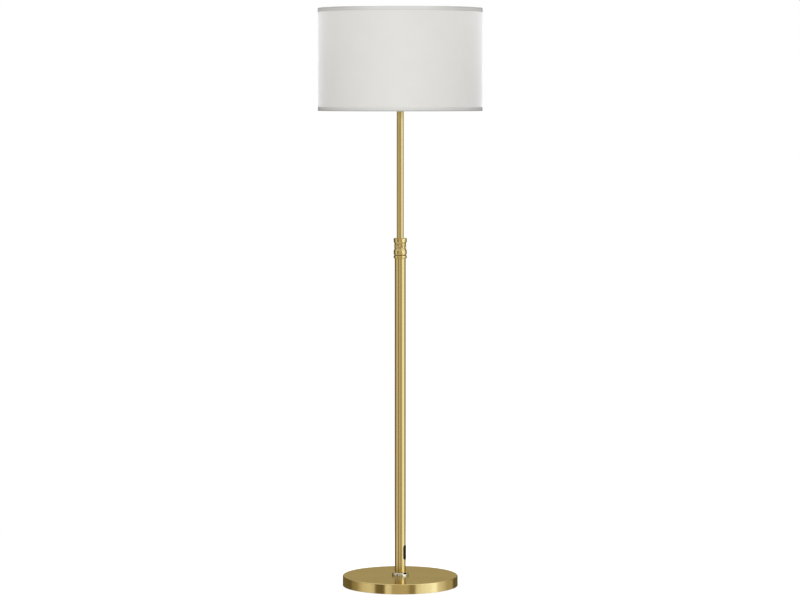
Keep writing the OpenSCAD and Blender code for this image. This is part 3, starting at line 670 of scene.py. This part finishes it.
def trim_outline(rim_z, inward, wire_ring_r, liner_in_r, cloth_r, trim_h):
    """Outline of the folded tape at one rim; inward is 1 where the shade is above the rim."""
    wrap = WIRE_R + TAPE_T
    outer = cloth_r + TAPE_T
    inner = liner_in_r - GLUE
    cut = trim_h - TAPE_END
    roll = arc(wire_ring_r, wrap, wrap, 270, 90, 12)
    leaf = [(liner_in_r - TAPE_T, 2 * wrap + 0.6 * MM), (liner_in_r - TAPE_T, cut),
            (liner_in_r - 0.3 * TAPE_T, trim_h), (inner, cut)]
    gap = [(inner, wrap + WIRE_R), (wire_ring_r + WIRE_R, wrap), (inner, TAPE_T),
           (cloth_r + GLUE, TAPE_T)]
    outside = [(cloth_r + GLUE, cut), (cloth_r + TAPE_T / 2, trim_h), (outer, trim_h - TAPE_T / 2)]
    outside += [(outer + TAPE_CROWN * math.sin(math.pi * i / 6), trim_h * (1 - i / 6))
                for i in range(1, 5)]
    corner = arc(outer - TAPE_CORNER, TAPE_CORNER, TAPE_CORNER, 0, -90, 6)
    whole = roll + leaf + gap + outside + corner
    return [(radius, rim_z + inward * depth) for radius, depth in whole]


def shade_trim(node, name, inward, material):
    """The tape that wraps one of the frame's wires and the edges of the liner and the cloth."""
    low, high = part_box(node)
    rim_z = low.z if inward > 0 else high.z
    trim_h = high.z - low.z
    wire_ring_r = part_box("shade_top_wire")[1].x - WIRE_R
    liner_in_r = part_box("shade_liner")[1].x - LINER_T
    cloth_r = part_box("shade_fabric")[1].x
    outline = trim_outline(rim_z, inward, wire_ring_r, liner_in_r, cloth_r, trim_h)
    bm = spin_profile(outline, TRIM_STEPS)
    flat = bm.loops.layers.uv.new("flat")
    for face in bm.faces:
        middle = face.calc_center_median()
        base = math.atan2(middle.y, middle.x)
        for loop in face.loops:
            co = loop.vert.co
            turn = math.atan2(co.y, co.x)
            turn = base + ((turn - base + math.pi) % (2 * math.pi) - math.pi)
            loop[flat].uv = (turn * cloth_r, co.z + (cloth_r - math.hypot(co.x, co.y)))
    for vert in bm.verts:
        radius = math.hypot(vert.co.x, vert.co.y)
        turn = math.atan2(vert.co.y, vert.co.x)
        deep = abs(vert.co.z - rim_z) / trim_h
        pucker = noise.noise((math.cos(turn) * 26, math.sin(turn) * 26, deep * 2 + inward))
        amount = PUCKER_IN if radius < liner_in_r - INSIDE else PUCKER_OUT
        shift = amount * pucker * min(1.0, 2.5 * deep)
        vert.co.x *= (radius + shift) / radius
        vert.co.y *= (radius + shift) / radius
    piece = make_piece(name, bm, material, 50)
    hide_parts(node)
    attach(piece, "upper_pole")
    return piece


NEAR_FOLD = (1.6 * MM, 4.6 * MM)   # from the rim, over which the shade painted along the fold fades out
NEAR_SIDE = (0.25, 0.75)           # share of the shade's radius, over which the shade painted at the left and right sides fades in


def rim_tape(name, rim_z, fold, sides, both):
    """Tape with shade painted into its colour along its fold, at the lamp's left and right sides,
    and where both meet.
    """
    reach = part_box("shade_fabric")[1].x

    def painted_shade(finish):
        x, _, z = finish.add("SeparateXYZ", {0: finish.place}).outputs
        off_rim = finish.math("ABSOLUTE", finish.math("SUBTRACT", z, rim_z))
        near_fold = finish.remap(off_rim, *NEAR_FOLD, 1.0, 0.0, smooth=True)
        off_middle = finish.math("ABSOLUTE", finish.math("DIVIDE", x, reach))
        at_side = finish.remap(off_middle, *NEAR_SIDE, smooth=True)
        meeting = finish.math("MULTIPLY", finish.math("MULTIPLY", near_fold, at_side), both)
        share = finish.math("ADD", finish.math("MULTIPLY", near_fold, fold),
                            finish.math("MULTIPLY", at_side, sides))
        return finish.math("ADD", share, meeting, clamp=True)

    return cloth(name, TAPE_PALE, TAPE_SHADED, 0.0, 0.0, painted_shade)


def dress_shade(finishes):
    """The cloth wall and the tapes at its two rims."""
    bottom_z, top_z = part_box("shade_trim_bottom")[0].z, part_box("shade_trim_top")[1].z
    # fold, sides and both: how much shade is painted into each tape along its fold, at the sides
    # and where they meet
    lower = rim_tape("trim_tape_lower", bottom_z, fold=0.34, sides=0.05, both=-0.10)
    upper = rim_tape("trim_tape_upper", top_z, fold=0.0, sides=0.15, both=0.22)
    bottom = shade_trim("shade_trim_bottom", "trim_tape_bottom", 1, lower)
    top = shade_trim("shade_trim_top", "trim_tape_top", -1, upper)
    wall, flat = shade_cloth(finishes["shade_cloth"])


# ---------- studio ----------

# The studio as metal sees it: azimuth in degrees from the camera's side, towards the lamp's right
# as seen, and how bright the wall or card there is
PANORAMA = (
    (-173, 0.40), (-168, 0.17), (-116, 0.17), (-111, 0.30),      # dark corner
    (-98, 0.36), (-90, 0.55), (-80, 0.76), (-64, 0.84),          # light on the left
    (-54, 0.76), (-50, 0.20), (-34, 0.17), (-31, 0.40),          # dark card
    (-29, 0.92), (-19, 0.86), (-16, 0.53),                       # slit
    (12, 0.57), (17, 0.50), (19, 0.31), (29, 0.31),              # thin dark card
    (33, 0.90), (62, 1.12), (70, 1.30), (77, 1.30),              # large light on the right
    (81, 0.92), (98, 0.72), (110, 0.50), (129, 0.50),
    (133, 0.15), (168, 0.15), (173, 0.40),                       # dark corner
)
WALL_BEHIND = (0.42, 0.363, 0.206)
OVERHEAD, UNDERNEATH = 0.95, 0.60
ABOVE_FROM, ABOVE_TO = 0.35, 0.8   # share of straight up or down over which these two fade in
RAISED = (1.80, 2.30, 2.62)        # the light on the right, just above the horizon
RAISED_FROM, RAISED_TO = (0.62, 0.80), (1.50, 1.32)     # azimuths in radians over which it fades
RAISED_UP, RAISED_DOWN = (0.0, 0.12), (0.24, 0.18)      # sines of the heights over which it fades
LOWERED = 0.18                     # the dim wall on the left, above the horizon
LOWERED_FROM, LOWERED_TO = (-1.75, -1.50), (0.10, -0.15)
LOWERED_UP, LOWERED_SHARE = (0.0, 0.12), 0.55
BRIGHTEST = 1.35
AMBIENT = 0.32                     # what dull surfaces get from all round


def lit(level):
    """The colour of a wall that bright: warm where it is dim, a little cool where it is bright."""
    red = level / BRIGHTEST
    return red, red * (0.82 + 0.24 * level), red * (0.36 + 0.80 * level)


def studio_world():
    """White behind the lamp, the panorama on its metal, and an even grey for the rest."""
    world = bpy.data.worlds.new("studio")
    world.use_nodes = True
    world.cycles.sampling_method = "NONE"
    scene.world = world
    nodes = Nodes(world.node_tree)
    for node in list(world.node_tree.nodes):
        world.node_tree.nodes.remove(node)
    x, y, z = nodes.add("SeparateXYZ", {0: nodes.add("TexCoord").outputs["Generated"]}).outputs
    azimuth = nodes.math("ARCTAN2", x, nodes.math("MULTIPLY", y, -1))
    ramp = nodes.add("ValToRGB", {0: nodes.remap(azimuth, -math.pi, math.pi)})
    stops = ramp.color_ramp.elements
    for degrees, level in PANORAMA:
        stops.new((degrees + 180) / 360).color = (*lit(level), 1)
    for end in (stops[0], stops[1], stops[-2], stops[-1]):
        end.color = (*(part / BRIGHTEST for part in WALL_BEHIND), 1)
    round_about = ramp.outputs[0]

    def between(value, fades_in, fades_out):
        return nodes.math("MULTIPLY", nodes.remap(value, *fades_in, smooth=True),
                          nodes.remap(value, *fades_out, smooth=True))

    raised = nodes.math("MULTIPLY", between(azimuth, RAISED_FROM, RAISED_TO),
                        between(z, RAISED_UP, RAISED_DOWN))
    lowered = nodes.math("MULTIPLY", between(azimuth, LOWERED_FROM, LOWERED_TO),
                         nodes.remap(z, *LOWERED_UP, 0.0, LOWERED_SHARE, smooth=True))
    round_about = nodes.tint(raised, nodes.tint(lowered, round_about, lit(LOWERED)), RAISED)
    above = nodes.tint(nodes.remap(z, ABOVE_FROM, ABOVE_TO, smooth=True), round_about,
                       lit(OVERHEAD))
    around = nodes.tint(nodes.remap(z, -ABOVE_FROM, -ABOVE_TO, smooth=True), above,
                        lit(UNDERNEATH))
    cards = nodes.add("Background", {"Color": around, "Strength": BRIGHTEST}).outputs[0]
    ambient = nodes.add("Background", {"Color": (1, 1, 1, 1), "Strength": AMBIENT}).outputs[0]
    white = nodes.add("Background", {"Color": (1, 1, 1, 1), "Strength": 1.0}).outputs[0]
    path = nodes.add("LightPath").outputs
    shown = ambient
    for ray, surface in (("Glossy", cards), ("Transmission", white), ("Camera", white)):
        shown = nodes.add("MixShader", {0: path[f"Is {ray} Ray"], 1: shown, 2: surface}).outputs[0]
    nodes.add("OutputWorld", {"Surface": shown})


LIGHTS = (                         # name, place, aim, size in metres, watts
    ("front_light", (0, -5.5, 1.7), (0, 0, 1.2), 1.6, 180),
    ("back_light", (0, 4.2, 3.0), (0, 0, 1.2), 1.6, 115),
    ("top_light", (0, 0, 4.2), (0, 0, 0), 1.2, 62),
    ("left_light", (-0.6, 0.0, 1.85), (-0.1, 0, 1.5), 0.3, 0.8),
    ("right_light", (0.6, 0.0, 1.85), (0.1, 0, 1.5), 0.3, 1.0),
)


def soft_light(name, at, aim, size, power):
    """A round area light that lights dull surfaces only."""
    data = bpy.data.lights.new(name, "AREA")
    data.shape = "DISK"
    data.size = size
    data.energy = power
    light = bpy.data.objects.new(name, data)
    light.location = at
    light.rotation_euler = (Vector(aim) - Vector(at)).to_track_quat("-Z", "Y").to_euler()
    light.visible_glossy = False
    light.visible_camera = False
    scene.collection.objects.link(light)


FLOOR_HALF = 60
FLOOR_Z = -0.4 * MM                # just under the felt
FLOOR_GLOW = 0.70
FLOOR_FADE = (0.5, 1.6)            # metres from the lamp over which the floor turns plain white


def add_floor():
    """A pale floor that takes the lamp's shadow, is white where lit and clear from below."""
    bm = bmesh.new()
    bmesh.ops.create_grid(bm, x_segments=1, y_segments=1, size=FLOOR_HALF,
                          matrix=Matrix.Translation((0, 0, FLOOR_Z)))
    finish = Finish("floor")
    cloud = finish.noise(finish.place, 0.7, 2)
    finish.color(cloud, (0.50, 0.50, 0.50), (0.49, 0.49, 0.49))
    finish.shader.inputs["Roughness"].default_value = 1.0
    finish.shader.inputs["Specular IOR Level"].default_value = 0.0
    seen = finish.add("LightPath").outputs["Is Camera Ray"]
    distance = finish.add("VectorMath", {0: finish.place}, operation="LENGTH").outputs["Value"]
    finish.shader.inputs["Emission Color"].default_value = (1, 1, 1, 1)
    finish.feed("Emission Strength", finish.math("MULTIPLY", seen, FLOOR_GLOW))
    white = finish.add("Emission", {"Color": (1, 1, 1, 1), "Strength": 1.0}).outputs[0]
    far = finish.remap(distance, *FLOOR_FADE, smooth=True)
    mixed = finish.add("MixShader", {0: finish.math("MULTIPLY", seen, far),
                                     1: finish.shader.outputs[0], 2: white}).outputs[0]
    under = finish.math("MULTIPLY", seen, finish.add("NewGeometry").outputs["Backfacing"])
    clear = finish.add("BsdfTransparent").outputs[0]
    shown = finish.add("MixShader", {0: under, 1: mixed, 2: clear}).outputs[0]
    finish.tree.links.new(shown, finish.tree.nodes["Material Output"].inputs["Surface"])
    floor = make_piece("floor", bm, finish.material)
    floor.visible_glossy = False


# ---------- the lamp ----------

add_camera()
studio_world()
for light in LIGHTS:
    soft_light(*light)
add_floor()
finishes = make_finishes()
dress_nodes(finishes)
lock_nut(relief_brass())
foot_ring(finishes["polished_nickel"])
shade_spot_plug(shade_spot_rubber())
dress_shade(finishes)
